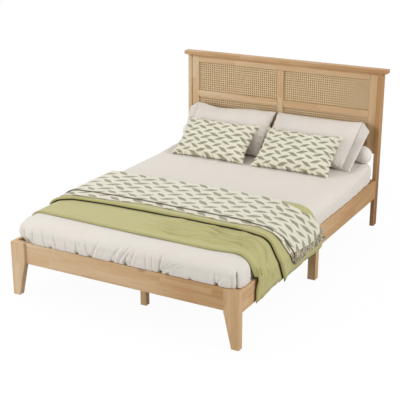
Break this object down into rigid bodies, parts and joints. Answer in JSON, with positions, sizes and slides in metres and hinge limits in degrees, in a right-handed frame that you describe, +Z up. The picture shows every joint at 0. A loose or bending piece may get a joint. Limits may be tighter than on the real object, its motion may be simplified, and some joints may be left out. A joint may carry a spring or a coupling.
{
  "type": "bed",
  "caption": "Low wooden platform bed with a cane-panelled headboard, slatted base, mattress and layered bedding, for sleeping.",
  "frame": {"origin": "on the floor under the middle of the bed frame", "axes": "+Y towards the headboard along the bed's length, +Z up, +X to the right as seen from the foot looking towards the head"},
  "size_m": [1.5247, 2.11, 1.08],
  "materials": {
    "wood": "clear satin lacquer on light finger-jointed rubberwood",
    "plain_wood": "plain sanded softwood",
    "cane": "woven natural cane",
    "back_board": "thin plain board",
    "steel": "dark zinc-plated steel",
    "sheet": "warm white cotton",
    "patterned": "cream cotton with sage leaf strokes",
    "quilt": "olive green quilted cotton",
    "throw": "cream woven cloth with sage leaf strokes"
  },
  "bodies": {
    "bed_frame": {"beam_hanger_foot": "steel", "beam_hanger_head": "steel", "cane_panel_lower_left": "cane", "cane_panel_lower_right": "cane", "cane_panel_upper_left": "cane", "cane_panel_upper_right": "cane", "centre_beam": "plain_wood", "centre_leg_foot": "wood", "centre_leg_head": "wood", "centre_leg_middle": "wood", "corner_bracket_foot_left": "steel", "corner_bracket_foot_right": "steel", "corner_bracket_head_left": "steel", "corner_bracket_head_right": "steel", "foot_leg_left": "wood", "foot_leg_right": "wood", "foot_rail": "wood", "head_cross_rail": "wood", "headboard_back_board": "back_board", "headboard_bottom_rail": "wood", "headboard_cap": "wood", "headboard_mid_rail_left": "wood", "headboard_mid_rail_right": "wood", "headboard_mullion": "wood", "headboard_post_left": "wood", "headboard_post_right": "wood", "headboard_stile_left": "wood", "headboard_stile_right": "wood", "headboard_top_rail": "wood", "side_leg_left": "wood", "side_leg_right": "wood", "side_rail_left": "wood", "side_rail_right": "wood", "slat_01": "plain_wood", "slat_02": "plain_wood", "slat_03": "plain_wood", "slat_04": "plain_wood", "slat_05": "plain_wood", "slat_06": "plain_wood", "slat_07": "plain_wood", "slat_08": "plain_wood", "slat_09": "plain_wood", "slat_10": "plain_wood", "slat_11": "plain_wood", "slat_12": "plain_wood", "slat_13": "plain_wood", "slat_ledge_left": "plain_wood", "slat_ledge_right": "plain_wood"},
    "mattress": {"mattress": "sheet"},
    "quilt": {"quilt": "quilt"},
    "throw": {"throw": "throw"},
    "bolster": {"bolster": "sheet"},
    "pillow_left": {"pillow_left": "sheet"},
    "pillow_right": {"pillow_right": "sheet"},
    "cushion_left": {"cushion_left": "patterned"},
    "cushion_right": {"cushion_right": "patterned"}
  },
  "joints": [
    {"name": "mattress_lift", "type": "slide", "parent": "bed_frame", "child": "mattress", "axis": [0, 0, 1], "range_m": [0, 0.3]},
    {"name": "quilt_lift", "type": "slide", "parent": "mattress", "child": "quilt", "axis": [0, 0, 1], "range_m": [0, 0.3]},
    {"name": "throw_lift", "type": "slide", "parent": "quilt", "child": "throw", "axis": [0, 0, 1], "range_m": [0, 0.3]},
    {"name": "bolster_lift", "type": "slide", "parent": "mattress", "child": "bolster", "axis": [0, 0, 1], "range_m": [0, 0.3]},
    {"name": "pillow_left_lift", "type": "slide", "parent": "bolster", "child": "pillow_left", "axis": [0, 0, 1], "range_m": [0, 0.3]},
    {"name": "pillow_right_lift", "type": "slide", "parent": "bolster", "child": "pillow_right", "axis": [0, 0, 1], "range_m": [0, 0.3]},
    {"name": "cushion_left_lift", "type": "slide", "parent": "pillow_left", "child": "cushion_left", "axis": [0, 0, 1], "range_m": [0, 0.3]},
    {"name": "cushion_right_lift", "type": "slide", "parent": "pillow_right", "child": "cushion_right", "axis": [0, 0, 1], "range_m": [0, 0.3]}
  ]
}
